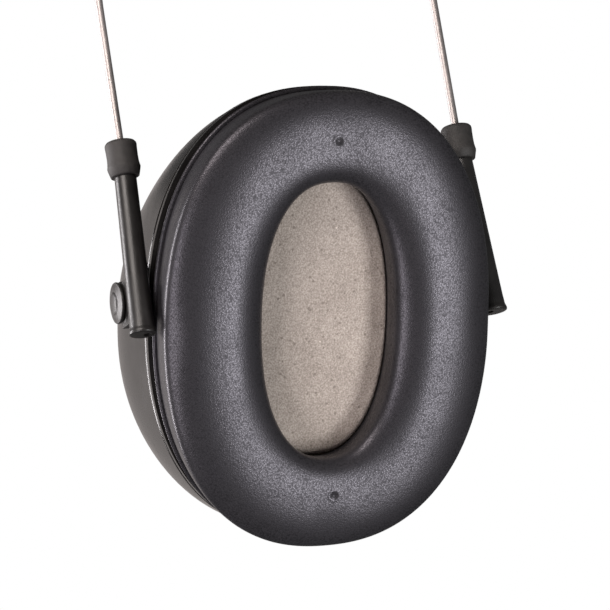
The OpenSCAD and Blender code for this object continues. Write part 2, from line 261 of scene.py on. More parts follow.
class Nodes:
    """A material's node tree, with short calls for the nodes used here."""

    def __init__(self, name):
        self.material = bpy.data.materials.new(name)
        self.material.use_nodes = True
        self.tree = self.material.node_tree
        self.tree.nodes.clear()
        self.shader = self.add("ShaderNodeBsdfPrincipled")
        output = self.add("ShaderNodeOutputMaterial")
        self.link(self.shader.outputs["BSDF"], output.inputs["Surface"])
        place = self.add("ShaderNodeTexCoord")
        scale = self.add("ShaderNodeMapping")
        scale.inputs["Scale"].default_value = (1000, 1000, 1000)
        self.link(place.outputs["Object"], scale.inputs["Vector"])
        self.mm = scale.outputs["Vector"]  # the object's own coordinates, in mm

    def add(self, kind, **inputs):
        node = self.tree.nodes.new(kind)
        for key, value in inputs.items():
            node.inputs[key.replace("_", " ")].default_value = value
        return node

    def link(self, a, b):
        self.tree.links.new(a, b)

    def noise(self, size, detail=3, roughness=0.5, vector=None):
        """Noise whose cells are about size mm."""
        node = self.add("ShaderNodeTexNoise", Scale=1 / size, Detail=detail, Roughness=roughness)
        self.link(vector or self.mm, node.inputs["Vector"])
        return node.outputs["Fac"]

    def cells(self, size):
        """The distance from the middle of cells about size mm across."""
        node = self.add("ShaderNodeTexVoronoi", Scale=1 / size)
        self.link(self.mm, node.inputs["Vector"])
        return node.outputs["Distance"]

    def stretched(self, x, y, z):
        """The mm coordinates, stretched by these factors."""
        node = self.add("ShaderNodeMapping")
        node.inputs["Scale"].default_value = (1 / x, 1 / y, 1 / z)
        self.link(self.mm, node.inputs["Vector"])
        return node.outputs["Vector"]

    def ramp(self, value, *stops):
        """A colour ramp; each stop is (place, colour or grey)."""
        node = self.add("ShaderNodeValToRGB")
        ramp = node.color_ramp
        while len(ramp.elements) < len(stops):
            ramp.elements.new(0.5)
        for element, (place, colour) in zip(ramp.elements, stops):
            element.position = place
            rgb = (colour,) * 3 if np.isscalar(colour) else colour
            element.color = (*rgb, 1)
        self.link(value, node.inputs["Fac"])
        return node.outputs["Color"]

    def span(self, value, low, high, new_low, new_high):
        """The value with low to high stretched to new_low to new_high, and held at both ends."""
        node = self.add("ShaderNodeMapRange", From_Min=low, From_Max=high, To_Min=new_low, To_Max=new_high)
        self.link(value, node.inputs["Value"])
        return node.outputs["Result"]

    def maths(self, operation, a, b):
        """A sum or another operation on two values, each an output or a number."""
        node = self.add("ShaderNodeMath")
        node.operation = operation
        for socket, value in zip(node.inputs, (a, b)):
            if np.isscalar(value):
                socket.default_value = value
            else:
                self.link(value, socket)
        return node.outputs["Value"]

    def colour(self, value):
        self.link(value, self.shader.inputs["Base Color"])

    def rough(self, value):
        self.link(value, self.shader.inputs["Roughness"])

    def bump(self, height, depth):
        """Bump of depth mm, on top of any bump there already."""
        node = self.add("ShaderNodeBump", Strength=1, Distance=depth * MM)
        normal = self.shader.inputs["Normal"]
        if normal.is_linked:
            self.link(normal.links[0].from_socket, node.inputs["Normal"])
        self.link(height, node.inputs["Height"])
        self.link(node.outputs["Normal"], normal)

    def set(self, **values):
        for key, value in values.items():
            self.shader.inputs[key.replace("_", " ")].default_value = value


def grey(value, tint=(1, 1, 1)):
    """A grey, or a slightly tinted one."""
    return tuple(value * t for t in tint)


# The leather's black leans to blue and the plastic's to brown.
BLUISH, BROWNISH = (1.00, 0.955, 1.07), (1.08, 0.99, 0.96)


def leather(name, grain=0.40, shade=0.018, gloss=0.28):
    """Imitation leather with a fine grain, which shows in its gloss and its relief, and in its colour as
    painted shade: darker in the grain's valleys, lighter on its raised tops, with a random mottle.
    """
    n = Nodes(name)
    pebble = n.cells(grain)
    fine = n.cells(grain * 0.55)
    mottle = n.noise(9, 3, 0.55)
    # Painted shade: the colour darkens towards each grain cell's edge, where the bump sinks into the
    # valleys, and lightens on the raised middles; the mottle adds random tone.
    tone_and_painted_shade = n.maths("ADD", pebble, n.span(mottle, 0.3, 0.7, -0.12, 0.12))
    n.colour(n.ramp(tone_and_painted_shade, (0.12, grey(shade * 1.6, BLUISH)), (0.55, grey(shade, BLUISH)),
                    (0.9, grey(shade * 0.5, BLUISH))))
    n.rough(n.maths("ADD", n.span(pebble, 0, 0.8, gloss - 0.07, gloss + 0.15),
                    n.span(mottle, 0.3, 0.7, -0.03, 0.03)))
    n.bump(n.maths("MULTIPLY", pebble, -1), 0.019)
    n.bump(n.maths("MULTIPLY", fine, -1), 0.010)
    shine = n.span(n.maths("ADD", pebble, fine), 0.35, 1.1, 0.46, 0.30)
    n.link(shine, n.shader.inputs["Specular IOR Level"])
    n.set(IOR=1.5, Specular_Tint=(*BLUISH, 1))
    return n.material


def plastic(name, shade, gloss):
    """Semi-gloss moulded plastic: a slight unevenness in the gloss, faint flow marks and fine scuffs."""
    n = Nodes(name)
    wave = n.noise(6, 2, 0.5)
    scuff = n.noise(1.2, 4, 0.65, n.stretched(1, 1, 7))
    n.colour(n.ramp(wave, (0.3, grey(shade * 0.8, BROWNISH)), (0.7, grey(shade * 1.3, BROWNISH))))
    n.rough(n.maths("ADD", n.span(wave, 0.3, 0.7, gloss - 0.04, gloss + 0.05),
                    n.span(scuff, 0.55, 0.8, 0, 0.12)))
    n.bump(n.noise(0.5, 2, 0.5), 0.012)
    n.bump(n.noise(4, 2, 0.5), 0.02)
    n.set(IOR=1.49)
    return n.material


def rubber(name):
    """Matte grey rubber with a fine dusty grain."""
    n = Nodes(name)
    dust = n.noise(2.2, 4, 0.6)
    grain = n.noise(0.25, 3, 0.6)
    n.colour(n.ramp(dust, (0.3, grey(0.020, BROWNISH)), (0.7, grey(0.034, BROWNISH))))
    n.rough(n.span(dust, 0.3, 0.7, 0.55, 0.72))
    n.bump(grain, 0.03)
    n.set(IOR=1.45)
    return n.material


def steel(name):
    """Brushed spring steel wire, with faint drawing lines along it."""
    n = Nodes(name)
    lines = n.noise(0.12, 2, 0.5, n.stretched(1, 1, 60))
    cloud = n.noise(8, 3, 0.5)
    n.colour(n.ramp(cloud, (0.3, (0.38, 0.35, 0.34)), (0.7, (0.48, 0.44, 0.43))))
    n.rough(n.maths("ADD", n.span(cloud, 0.3, 0.7, 0.46, 0.54), n.span(lines, 0.3, 0.7, 0, 0.08)))
    n.bump(lines, 0.004)
    n.set(Metallic=1.0)
    return n.material


def open_foam(name):
    """Grey-brown acoustic foam: fine open cells, scattered pits with painted shade in them, and a few pale
    flecks.
    """
    light, dark = (0.42, 0.366, 0.328), (0.23, 0.194, 0.168)
    middle = tuple(0.5 * (a + b) for a, b in zip(light, dark))
    pale = tuple(1.6 * a for a in light)
    n = Nodes(name)
    cell = n.cells(0.4)
    cloud = n.noise(7, 4, 0.6)
    fine = n.noise(0.4, 2, 0.6)
    # The pits are sunk by the bump and also darkened in colour: painted shade in the pits.
    pit_relief_and_shade = n.span(n.cells(2.2), 0.08, 0.17, 0.35, 1)
    flecks = n.span(n.cells(4.5), 0.03, 0.055, 1, 0)
    blend = n.maths("ADD", n.maths("MULTIPLY", fine, 0.8), n.maths("MULTIPLY", cloud, 0.2))
    tone_and_painted_shade = n.maths("ADD", n.maths("MULTIPLY", blend, pit_relief_and_shade), n.maths("MULTIPLY", flecks, 0.4))
    n.colour(n.ramp(tone_and_painted_shade, (0.32, dark), (0.47, middle), (0.58, light), (0.9, pale)))
    n.rough(n.span(cell, 0, 0.8, 0.78, 0.95))
    n.bump(n.maths("MULTIPLY", cell, -1), 0.05)
    n.bump(fine, 0.05)
    n.bump(pit_relief_and_shade, 0.10)
    n.set(IOR=1.4)
    return n.material


def thread(name):
    """Twisted sewing thread."""
    n = Nodes(name)
    twist = n.noise(0.22, 2, 0.5)
    n.colour(n.ramp(twist, (0.3, grey(0.03)), (0.7, grey(0.06))))
    n.rough(n.span(twist, 0.3, 0.7, 0.5, 0.7))
    n.bump(twist, 0.04)
    return n.material


def paper(name):
    """Pale studio paper, a little uneven."""
    n = Nodes(name)
    n.colour(n.ramp(n.noise(60, 3), (0.3, grey(0.86)), (0.7, grey(0.9))))
    n.rough(n.span(n.noise(40, 3), 0.3, 0.7, 0.8, 0.9))
    return n.material


SKIN = leather("cushion_leather")
PAD_SKIN = leather("head_pad_leather", grain=0.8, shade=0.017, gloss=0.46)
SHELL_MAT = plastic("shell_gloss", 0.010, 0.22)
PLATE_MAT = plastic("plate_gloss", 0.008, 0.30)
ARM_MAT = plastic("arm_gloss", 0.010, 0.38)
PIN_MAT = plastic("pin_satin", 0.012, 0.42)
BRIDGE_MAT = plastic("bridge_satin", 0.013, 0.38)
CAP_MAT = rubber("cap_rubber")
WIRE_MAT = steel("spring_steel")
LINER_MAT = open_foam("liner_foam")
THREAD_MAT = thread("thread")


# ---------------------------------------------------------------- soft pieces

def inflate(obj, held, grid, pressure, cap):
    """Blows a closed mesh up as cloth, with gravity off. The held points stay; none moves over cap mm.
    grid is the shape of the rings that the mesh is made of; the moves are eased along and across them."""
    last_frame = 20
    group = obj.vertex_groups.new(name="held")
    group.add([int(i) for i in held], 1.0, "REPLACE")
    start = coordinates(obj.data)
    modifier = obj.modifiers.new("Cloth", "CLOTH")
    cloth = modifier.settings
    cloth.quality = 6
    cloth.mass = 0.02
    cloth.use_pressure = True
    cloth.uniform_pressure_force = pressure
    cloth.vertex_group_mass = "held"
    cloth.tension_stiffness = cloth.compression_stiffness = 12
    cloth.shear_stiffness = 4
    cloth.bending_stiffness = 0.8
    cloth.effector_weights.gravity = 0
    modifier.collision_settings.use_collision = False
    modifier.point_cache.frame_start, modifier.point_cache.frame_end = 1, last_frame
    scene = bpy.context.scene
    for f in range(1, last_frame + 1):
        scene.frame_set(f)
    evaluated = obj.evaluated_get(bpy.context.evaluated_depsgraph_get())
    moved = coordinates(evaluated.to_mesh()) - start
    evaluated.to_mesh_clear()
    obj.modifiers.clear()
    obj.vertex_groups.clear()
    scene.frame_set(1)
    moved = eased(moved.reshape(*grid, 3)).reshape(-1, 3)
    reach = np.linalg.norm(moved, axis=1)
    limit = cap * MM
    scale = np.where(reach > 1e-9, limit * np.tanh(reach / limit) / np.maximum(reach, 1e-9), 0)
    set_coordinates(obj.data, start + moved * scale[:, None])


def eased(field, times=6):
    """A grid of moves, averaged with its neighbours along and across the rings."""
    for _ in range(times):
        for axis in (0, 1):
            field = 0.5 * field + 0.25 * (np.roll(field, 1, axis) + np.roll(field, -1, axis))
    return field


def subdivided(obj):
    """Rounds a mesh with one level of subdivision."""
    modifier = obj.modifiers.new("Subdivision", "SUBSURF")
    modifier.levels = modifier.render_levels = 1
    applied(obj)


def cushion_section(steps):
    """The cushion's skin from its outer foot over the crest to its inner foot: [share of width, x]."""
    round_part = 0.65  # the share of each side of the section that is its round top
    t = np.linspace(-1, 1, steps)
    u = np.abs(t)
    arc = np.minimum(u / round_part, 1) * math.pi / 2
    wall = np.maximum(u - round_part, 0) / (1 - round_part)
    reach = np.where(t < 0, 1 - CREST_AT, -CREST_AT)
    tuck = np.where(t < 0, OUTER_TUCK, -INNER_TUCK)
    power = 2 / CREST_POWER
    share = CREST_AT + reach * np.sin(arc) ** power - tuck * wall ** 1.5
    top = WIDEST_AT + (1 - WIDEST_AT) * np.abs(np.cos(arc)) ** power
    height = np.where(wall > 0, WIDEST_AT * (1 - wall), top)
    return np.stack([share, CUSHION_X + CUSHION_T * height], axis=1)


def ring_between(inner, outer, section):
    """A section of (share of the way from the inner oval to the outer one, x), swept round the two."""
    return [[(x, p[0] + s * (q[0] - p[0]), p[1] + s * (q[1] - p[1]) - CUP_DROP) for s, x in section]
            for p, q in zip(inner, outer)]


def ear_cushion(side):
    """A sealed cushion: inflated skin, with a welded bead at its outer foot and two small vents."""
    count = 168
    section = cushion_section(steps=40)
    backing = np.linspace(section[-1][0], section[0][0], 8)[1:-1]
    section = np.concatenate([section, [(share, CUSHION_X) for share in backing]])
    rings = ring_between(oval(EAR_W, EAR_H, count), oval(CUSHION_W, CUSHION_H, count), section)
    points, faces = skin(rings, wrap=True)
    obj = mesh_from(f"{side}_ear_cushion_skin", in_cup(side, points), faces, sharp=75)
    held = np.where(points[:, 0] < CUSHION_X + 1.2)[0]
    inflate(obj, held, np.shape(rings)[:2], pressure=14, cap=1.1)
    to_size(obj, side, points)
    subdivided(obj)
    vents(side, obj)
    obj.data.shade_smooth()
    finished(obj, f"{side}_cup", "cushion_skin", SKIN, f"{side}_ear_cushion", f"{side}_cushion_foam")
    welded_bead(side)


def to_size(obj, side, points):
    """Brings an inflated cushion back to the size of its points, in the cup frame, about its backing."""
    start = in_cup(side, points) * MM
    zero = in_cup(side, [(0, 0, 0)])[0]
    axes = [in_cup(side, [unit])[0] - zero for unit in ((1, 0, 0), (0, 1, 0), (0, 0, 1))]
    origin = in_cup(side, [(CUSHION_X, 0, -CUP_DROP)])[0] * MM
    moved = coordinates(obj.data)
    out = np.tile(origin, (len(moved), 1))
    for axis in axes:
        before, after = (start - origin) @ axis, (moved - origin) @ axis
        out += np.outer(after * np.abs(before).max() / np.abs(after).max(), axis)
    set_coordinates(obj.data, out)


def vents(side, obj):
    """Presses the two vent holes into the cushion, one above and one below the opening."""
    mesh = obj.data
    inward = in_cup(side, [(0, 0, 0)])[0] - in_cup(side, [(1, 0, 0)])[0]
    for height in VENT_HEIGHTS:
        at = in_cup(side, [(FACE_X - 0.4, 0.6, height - CUP_DROP)])[0] * MM
        for _ in range(2):
            bm = bmesh.new()
            bm.from_mesh(mesh)
            near = [f for f in bm.faces if (f.calc_center_median() - Vector(at)).length < 2.6 * MM]
            edges = list({e for f in near for e in f.edges})
            bmesh.ops.subdivide_edges(bm, edges=edges, cuts=1, use_grid_fill=True, smooth=0.6)
            bm.to_mesh(mesh)
            bm.free()
        co = coordinates(mesh)
        r = np.linalg.norm(co - at, axis=1) / MM
        hole = 0.22 * np.exp(-(r / 0.5) ** 2)
        dimple = 0.10 * np.exp(-(r / 1.1) ** 2)
        lip = 0.07 * np.exp(-((r - 1.25) / 0.35) ** 2)
        set_coordinates(mesh, co + inward * (hole + dimple - lip)[:, None] * MM)


def welded_bead(side):
    """The thin bead where the cushion's skin is welded to its backing."""
    radius, height = 0.75, 0.55
    outer = oval(CUSHION_W - 1.2, CUSHION_H - 1, 192)
    turn = np.linspace(0, 2 * math.pi, 12, endpoint=False)
    rings = [[(CUSHION_X + radius + height * math.sin(t), y + n[0] * radius * math.cos(t),
               z + n[1] * radius * math.cos(t) - CUP_DROP) for t in turn]
             for (y, z), n in zip(outer, outward(outer))]
    points, faces = skin(rings, wrap=True)
    obj = mesh_from(f"{side}_cushion_bead", in_cup(side, points), faces)
    finished(obj, f"{side}_cup", "cushion_skin", SKIN)


def outward(outline):
    """Unit normals of a closed outline."""
    tangent = np.roll(outline, -1, axis=0) - np.roll(outline, 1, axis=0)
    normal = np.stack([tangent[:, 1], -tangent[:, 0]], axis=1)
    return normal / np.linalg.norm(normal, axis=1)[:, None]


def foam_liner(side):
    """The foam block in the cup; its front fills the plate's opening and shows through the cushion."""
    count = 120
    rng = np.random.default_rng(7 if side == "left" else 11)
    open_w, open_h = EAR_W + 4.5, EAR_H + 5.5
    inside_w, inside_h = SHELL_W - SHELL_WALL - 4, SHELL_H - SHELL_WALL - 5
    # From the block's back to the edge of its face: x, half width, half height and drop.
    levels = [(MOUTH_X - 20, inside_w - 4, inside_h - 10, 2),
              (MOUTH_X - 12, inside_w - 1, inside_h - 3, 1),
              (MOUTH_X - 0.8, inside_w, inside_h, 0),
              (MOUTH_X - 0.4, open_w, open_h, 0),
              (PLATE_X, open_w, open_h, 0),
              (PLATE_X + 0.4, LINER_W + 0.6, LINER_H + 0.6, 0),
              (LINER_X - 0.5, LINER_W, LINER_H, 0)]
    levels += [(LINER_X, LINER_W * share, LINER_H * share, 0) for share in np.linspace(0.97, 0.03, 34)]
    rings = [[(x, y, z - CUP_DROP - drop) for y, z in oval(w, h, count)] for x, w, h, drop in levels]
    points, faces = skin(rings)
    front = np.where(points[:, 0] > LINER_X - 0.1)[0]
    y, z = points[front, 1], points[front, 2]
    waves = sum(depth * np.sin(y * rng.normal(0, rate) + z * rng.normal(0, rate) + rng.uniform(0, 6))
                for depth, rate in [(0.07, 0.25), (0.05, 0.6), (0.04, 1.2), (0.03, 2.4), (0.03, 3.1)])
    points[front, 0] += waves + rng.normal(0, 0.02, len(front))
    obj = mesh_from(f"{side}_foam_block", in_cup(side, points), faces, sharp=50)
    finished(obj, f"{side}_cup", "liner_foam", LINER_MAT, f"{side}_foam_liner")


# ---------------------------------------------------------------- hard pieces of the cup

def shell_rings(wall, parts, count):
    """The shell's ovals at shares of its depth, less a wall, from its mouth to its back. On the outside,
    a low band with a groove runs round the mouth."""
    rings = []
    for part in parts:
        depth = part * (SHELL_DEPTH - wall)
        r = depth / SHELL_DEPTH
        w = SHELL_W * (1 - r ** 5) ** (1 / 5) - wall
        h = SHELL_H * (1 - r ** 2.5) ** (1 / 2.5) - wall
        if wall == 0:
            band = 0.35 * float(smooth((3.4 - depth) / 0.8))
            groove = 0.25 * math.exp(-((depth - 1.7) / 0.28) ** 2)
            w, h = w + band - groove, h + band - groove
        rings.append([(MOUTH_X - depth, y, z - CUP_DROP - BACK_DROP * r) for y, z in oval(w, h, count)])
    return rings


def back_cap(ring, crown, steps=7):
    """Rings that close a loft's end with a slight crown."""
    ring = np.array(ring)
    middle = ring.mean(axis=0)
    out = []
    for share in np.linspace(1, 0.05, steps)[1:]:
        inner = middle + (ring - middle) * share
        inner[:, 0] -= crown * (1 - share ** 2)
        out.append(inner.tolist())
    return out


def pivot_pad(end):
    """The flat pad on the shell's side for a pivot, in the cup frame."""
    outline = rounded([(-9, -7.5), (0, -7), (1.6, -4.5), (1.6, 5), (-1, 9), (-6, 8)], 1.2)
    centre = outline.mean(axis=0)
    levels = [(PIVOT_PAD_BASE, 1.0), (PIVOT_PAD_TOP - 0.3, 1.0),
              (PIVOT_PAD_TOP - 0.05, 0.985), (PIVOT_PAD_TOP, 0.955)]
    return skin([[(x, end * y, z) for x, z in centre + (outline - centre) * k] for y, k in levels])


def pivot_boss(end):
    """The round boss on the pad, up to the arm's lug."""
    top = ARM_SPREAD - LUG_T / 2 - LUG_GAP - BOSS_BASE
    points, faces = lathe([(0.01, 0), (4.4, 0), (4.4, top - 0.2), (4.2, top), (0.01, top)], 48)
    return np.stack([points[:, 0], end * (points[:, 2] + BOSS_BASE), points[:, 1]], axis=1), faces


def cup_shell(side):
    """The deep shell with its rim, a flat pad and a boss for each pivot."""
    count = 160
    near_mouth = np.array([0, 0.4, 1.1, 1.4, 1.7, 2.0, 2.3, 2.6, 2.9, 3.2, 3.5, 4.2, 6]) / SHELL_DEPTH
    parts = np.concatenate([near_mouth, np.sin(np.linspace(0.16, math.pi / 2, 34)) * 0.995])
    outer = shell_rings(0, parts, count)
    inner = shell_rings(SHELL_WALL, np.sin(np.linspace(0, math.pi / 2, 20)) * 0.985, count)
    rings = back_cap(inner[-1], 0.1, 5)[::-1] + inner[::-1] + outer + back_cap(outer[-1], 0.25)
    points, faces = skin(rings)
    body = mesh_from(f"{side}_shell", in_cup(side, points), faces, sharp=38)
    points, faces = joined(*[part(end) for _, end in ENDS for part in (pivot_pad, pivot_boss)])
    extra = mesh_from(f"{side}_shell_pads", in_cup(side, points), faces, sharp=38)
    union = body.modifiers.new("Union", "BOOLEAN")
    union.operation, union.object, union.solver = "UNION", extra, "EXACT"
    union.use_self = True
    applied(body)
    bpy.data.objects.remove(extra)
    tidy(body, 32)
    body.name = f"{side}_cup_shell_moulding"
    finished(body, f"{side}_cup", "shell_plastic", SHELL_MAT, f"{side}_cup_shell")


def cushion_plate(side):
    """The plate that the cushion clips on, with its rounded rim."""
    count = 192
    back, front = MOUTH_X + 0.05, PLATE_X
    step = front + 0.55
    rim = rounded([(0, back), (1, back), (1, front), (0.93, front), (0.92, step), (0, step)],
                  [0.05, 0.5, 0.5, 0.1, 0.2, 0.05], 4)
    rings = ring_between(oval(EAR_W + 5, EAR_H + 6, count), oval(PLATE_W, PLATE_H, count), rim)
    points, faces = skin(rings, wrap=True)
    obj = mesh_from(f"{side}_plate", in_cup(side, points), faces, sharp=50)
    finished(obj, f"{side}_cup", "plate_plastic", PLATE_MAT, f"{side}_cushion_plate")


def pin_dome(share, sunk=0.0):
    """A point of the pin's dome at a share of its radius, sunk below it."""
    return PIN_HEAD_R * share, 1.7 - 1.1 * share * share - sunk


def pivot_pin(side, name, end):
    """The pin's domed head, with a shallow ring round its middle, and its shank."""
    seat = ARM_SPREAD + LUG_T / 2 + LUG_GAP
    low = PIVOT_PAD_BASE + 0.6 - seat
    profile = [(0.01, low), (PIN_R - 0.2, low), (PIN_R, low + 0.3), (PIN_R, 0.0), (PIN_HEAD_R - 0.25, 0.0),
               (PIN_HEAD_R - 0.05, 0.12), (PIN_HEAD_R, 0.3), (PIN_HEAD_R, 0.55), (PIN_HEAD_R - 0.12, 0.72)]
    profile += [pin_dome(share) for share in np.linspace(0.9, 0.62, 8)]
    profile += [pin_dome(0.58, 0.10), pin_dome(0.54, 0.18), pin_dome(0.50, 0.10)]
    profile += [pin_dome(share) for share in np.linspace(0.46, 0.002, 8)]
    points, faces = lathe(profile, 72)
    points = np.stack([points[:, 0], end * (points[:, 2] + seat), points[:, 1]], axis=1)
    obj = mesh_from(f"{side}_{name}_pivot_pin", in_cup(side, points), faces, sharp=40)
    finished(obj, f"{side}_cup", "pin_plastic", PIN_MAT, f"{side}_{name}_pin")


# ---------------------------------------------------------------- arms

def turned(profile, count):
    """A lathed profile as (x, y, z) and its faces."""
    points, faces = lathe(profile, count)
    return points.T, faces


def arm_tube(end, top):
    """The arm's tube, up to top. It leans: its top is on the wire, its foot farther out with the lug."""
    length = TUBE_BELOW + TUBE_ABOVE
    seat_r = TUBE_TOP_R - 0.1
    (x, y, z), faces = turned([
        (0.01, 0), (TUBE_END_R - 0.05, 0), (TUBE_END_R + 0.12, 0.2), (TUBE_END_R + 0.12, 0.7),
        (TUBE_END_R - 0.15, 1.5), (TUBE_END_R - 0.25, 4), (TUBE_TOP_R, length), (seat_r, length + 0.2),
        (seat_r, top), (0.01, top)], 56)
    lean = math.atan((ARM_SPREAD - WIRE_SPREAD) / length)
    across = ARM_SPREAD + y * math.cos(lean) - z * math.sin(lean)
    up = z * math.cos(lean) + y * math.sin(lean) - TUBE_BELOW
    return np.stack([x + ARM_OFFSET, end * across, up], axis=1), faces


def across_arm(profile, end, count):
    """A lathed profile with its axis on the pivot axis, centred in the arm."""
    (x, y, z), faces = turned(profile, count)
    return np.stack([x, z + end * ARM_SPREAD, y], axis=1), faces


def arm(side, name, end):
    """The tube that slides on the wire, melted into its lug and the web between them, then bored."""
    top = TUBE_BELOW + TUBE_ABOVE + CAP_LEN - 4.6
    half_lug = LUG_T / 2
    lug = across_arm([(0.01, -half_lug), (LUG_R - 0.3, -half_lug), (LUG_R, 0.3 - half_lug),
                      (LUG_R, half_lug - 0.3), (LUG_R - 0.3, half_lug), (0.01, half_lug)], end, 48)
    eye = across_arm([(0.005, -4), (PIN_R + 0.05, -4), (PIN_R + 0.05, 4), (0.005, 4)], end, 32)
    (x, y, z), faces = turned([(0.005, -1), (1.3, -1), (1.3, 1.8), (WIRE_BORE_R, 2.2),
                               (WIRE_BORE_R, top + 1), (0.005, top + 1)], 32)
    bore = np.stack([x + ARM_OFFSET, y + end * WIRE_SPREAD, z - TUBE_BELOW], axis=1), faces
    half_web = half_lug - 0.3
    web = rounded([(2.6, -6.1), (ARM_OFFSET, -6.4), (ARM_OFFSET, 4), (1.2, LUG_R - 0.6), (2.4, 0)], 0.4)
    foot = rounded([(-1.9, -5.8), (3, -6.2), (3, -2.4), (-0.4, -2.4)], [0.15, 0.4, 0.4, 0.4])
    plates = [skin([[(x, end * ARM_SPREAD + y, z) for x, z in outline] for y in (-half_web, half_web)])
              for outline in (web, foot)]
    obj = fused(f"{side}_{name}_arm_moulding", [arm_tube(end, top), lug] + plates)
    for cutter in (bore, eye):
        tool = mesh_from("cutter", *cutter)
        cut = obj.modifiers.new("Bore", "BOOLEAN")
        cut.operation, cut.object, cut.solver = "DIFFERENCE", tool, "EXACT"
        applied(obj)
        bpy.data.objects.remove(tool)
    set_coordinates(obj.data, in_leg(side, coordinates(obj.data) / MM) * MM)
    tidy(obj, 45)
    finished(obj, f"{side}_arms", "arm_plastic", ARM_MAT, f"{side}_{name}_arm")


def arm_cap(side, name, end):
    """The rubber cap: a slightly waisted sleeve with a flared, chamfered skirt."""
    seat = TUBE_TOP_R - 0.05
    grip = CAP_LEN - 4
    profile = [(seat, 0.0), (CAP_R - 0.75, 0.0), (CAP_R - 0.5, 0.1), (CAP_R, 1.9), (CAP_R + 0.05, 2.3),
               (CAP_R - 0.06, 2.8), (CAP_R - 0.16, 3.6), (CAP_R - 0.2, 5.0), (CAP_R - 0.16, 6.6),
               (CAP_R - 0.1, CAP_LEN - 1.0), (CAP_R - 0.18, CAP_LEN - 0.6), (CAP_R - 0.5, CAP_LEN - 0.22),
               (CAP_R - 1.1, CAP_LEN - 0.02), (1.35, CAP_LEN + 0.12), (1.15, CAP_LEN + 0.3),
               (WIRE_BORE_R, CAP_LEN + 0.3), (WIRE_BORE_R, grip), (seat, grip)]
    points, faces = lathe(profile, 72)
    points = points + (ARM_OFFSET, end * WIRE_SPREAD, TUBE_ABOVE + 0.05)
    obj = mesh_from(f"{side}_{name}_rubber_cap", in_leg(side, points), faces, sharp=60)
    finished(obj, f"{side}_arms", "cap_rubber", CAP_MAT, f"{side}_{name}_cap")


# ---------------------------------------------------------------- headband

def wire_point(t, end):
    """A point on the left wire, t mm up from the pivot's level."""
    inwards = float(smooth((t - STRAIGHT_T) / (FLEX_T - 3 - STRAIGHT_T)))
    y = end * (WIRE_SPREAD + inwards * (CROWN_SPREAD - WIRE_SPREAD))
    if t < LEG_LEN:
        return (-FOOT_X - t * math.sin(LEG_LEAN), y, FOOT_Z + t * math.cos(LEG_LEAN))
    return tuple(in_band([(math.pi / 2 + LEG_LEAN - (t - LEG_LEN) / BAND_R, y, BAND_R)])[0])


def tube_along(path, radii, count=16):
    """A round bar along a path, with a radius at each point."""
    path = np.asarray(path, float)
    along = np.gradient(path, axis=0)
    along /= np.linalg.norm(along, axis=1)[:, None]
    across = np.cross((0, 1, 0), along)
    across /= np.linalg.norm(across, axis=1)[:, None]
    up = np.cross(along, across)
    a = np.linspace(0, 2 * math.pi, count, endpoint=False)
    return skin([p + r * (np.cos(a)[:, None] * u + np.sin(a)[:, None] * v)
                 for p, u, v, r in zip(path, across, up, radii)])


def half_wire(side, name, end):
    """One wire from the crown down to its foot, in one mesh past the hinge above the leg."""
    crown_t = LEG_LEN + BAND_R * (math.pi / 2 + LEG_LEAN)
    foot = [-WIRE_TAIL, -WIRE_TAIL + 0.15, -WIRE_TAIL + 0.4]
    t = np.concatenate([foot, np.linspace(-WIRE_TAIL + 2, STRAIGHT_T, 24),
                        np.linspace(STRAIGHT_T, crown_t, 90)[1:]])
    radii = np.full(len(t), WIRE_R)
    radii[:3] = WIRE_R - 0.3, WIRE_R - 0.1, WIRE_R
    mirror = (1 if side == "left" else -1, 1, 1)
    points, faces = tube_along([np.multiply(wire_point(v, end), mirror) for v in t], radii)
    obj = mesh_from(f"{side}_{name}_wire", points, faces, sharp=60)
    crown = [f"{name}_crown_wire"] if side == "left" else []
    finished(obj, None, "spring_wire", WIRE_MAT, f"{side}_{name}_leg_wire", *crown)
    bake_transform(obj)


def wire_bridge(side):
    """The moulded clip at each end of the pad that holds the two wires apart."""
    start, stop = PAD_REACH + math.radians(2.3), FLEX_ANGLE - math.radians(0.7)
    middle, half = (start + stop) / 2, (stop - start) / 2
    section = rounded([(-2.5, -26), (2.5, -26), (2.5, 26), (-2.5, 26)], 2.2, 8)
    rings = []
    for a in np.linspace(-math.pi / 2, math.pi / 2, 15):
        share = math.copysign(abs(math.sin(a)) ** 0.6, a)
        shrink = 0.22 * (1 - math.cos(a) ** 0.5)
        rings.append(in_band([(middle + half * share, y * (1 - shrink * 0.12), BAND_R + r * (1 - shrink))
                              for r, y in section]))
    points, faces = skin(rings)
    if side == "right":
        points = points * (-1, 1, 1)
    obj = mesh_from(f"{side}_bridge_clip", points, faces, sharp=50)
    finished(obj, "headband", "bridge_plastic", BRIDGE_MAT, f"{side}_wire_bridge")


SEAMS = (-17.0, 17.0)


def pad_half_thickness(y):
    """Half of the pad's thickness at y: a thick middle, two sewn lines and a sleeve over each wire."""
    edge = np.clip(1 - (np.abs(y) / (PAD_W / 2)) ** 6, 0, 1) ** 0.5
    dip = sum(np.exp(-((y - seam) / 1.6) ** 2) for seam in SEAMS)
    return (PAD_T / 2 - 0.9 - 0.9 * smooth((np.abs(y) - 12) / 8)) * edge * (1 - 0.30 * dip)


def pad_rings(angles):
    """The head pad's rings across its width, as (angle, y, radius), thinner and narrower at both ends."""
    y = np.sin(np.linspace(-math.pi / 2, math.pi / 2, 44)) * PAD_W / 2
    y = np.unique(np.concatenate([y, SEAMS]))
    rings = []
    for angle in angles:
        left = (PAD_REACH - abs(angle)) * BAND_R
        round_off = max(0.12, 1 - (1 - left / 9) ** 2.2) ** 0.5 if left < 9 else 1.0
        half = pad_half_thickness(y) * round_off
        across = y * (1 - 0.10 * (1 - round_off))
        outer, inner = (np.stack([np.full(len(y), angle), across, PAD_MID_R + rise], axis=1)
                        for rise in (half, -half))
        rings.append(np.concatenate([outer, inner[::-1][1:-1]]))
    return np.array(rings)


